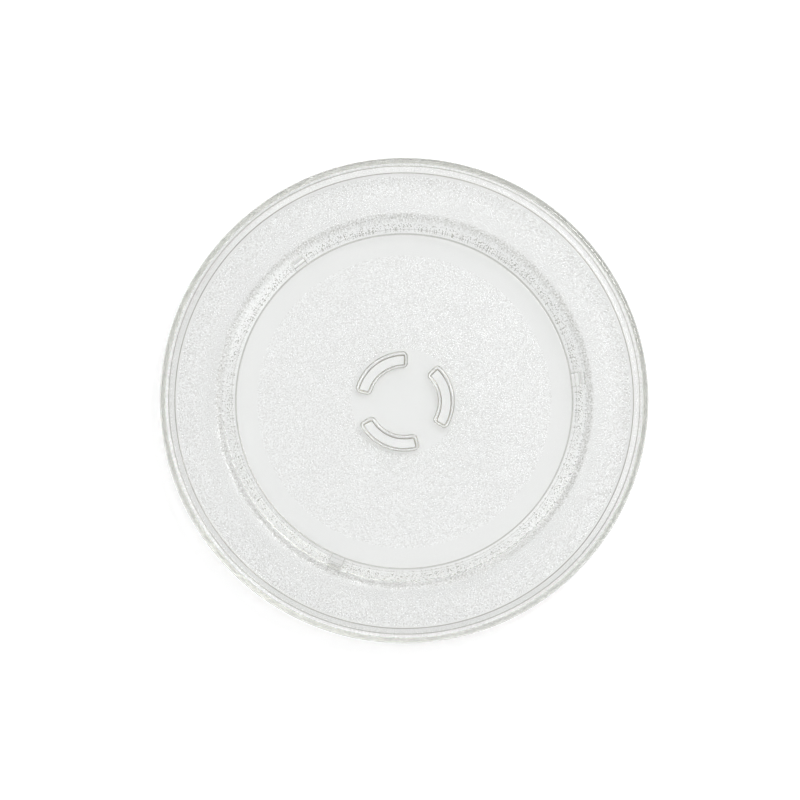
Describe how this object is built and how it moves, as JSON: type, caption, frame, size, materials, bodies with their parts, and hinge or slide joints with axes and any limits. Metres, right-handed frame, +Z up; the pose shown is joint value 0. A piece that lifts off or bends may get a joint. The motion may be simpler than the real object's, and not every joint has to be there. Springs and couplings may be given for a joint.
{
  "type": "microwave turntable plate",
  "caption": "Round clear pressed-glass turntable plate for a microwave oven: sunken flat base, raised flange and rim, stippled underside, curved drive lugs round the middle.",
  "frame": {"origin": "on the axis the plate turns about, in the plane of the drive lugs' lower faces, which the plate stands on when it is out of the oven", "axes": "+Z up along the axis, towards the rim and the food side; +X through the middle of one drive lug and the stop pad in line with it"},
  "size_m": [0.3048, 0.3048, 0.022],
  "materials": {
    "glass": "clear pressed glass, smooth on top, fine stipple on the underside except on the roller track, the lugs and the middle"
  },
  "bodies": {
    "root": {"turntable_plate": "glass"}
  },
  "joints": []
}
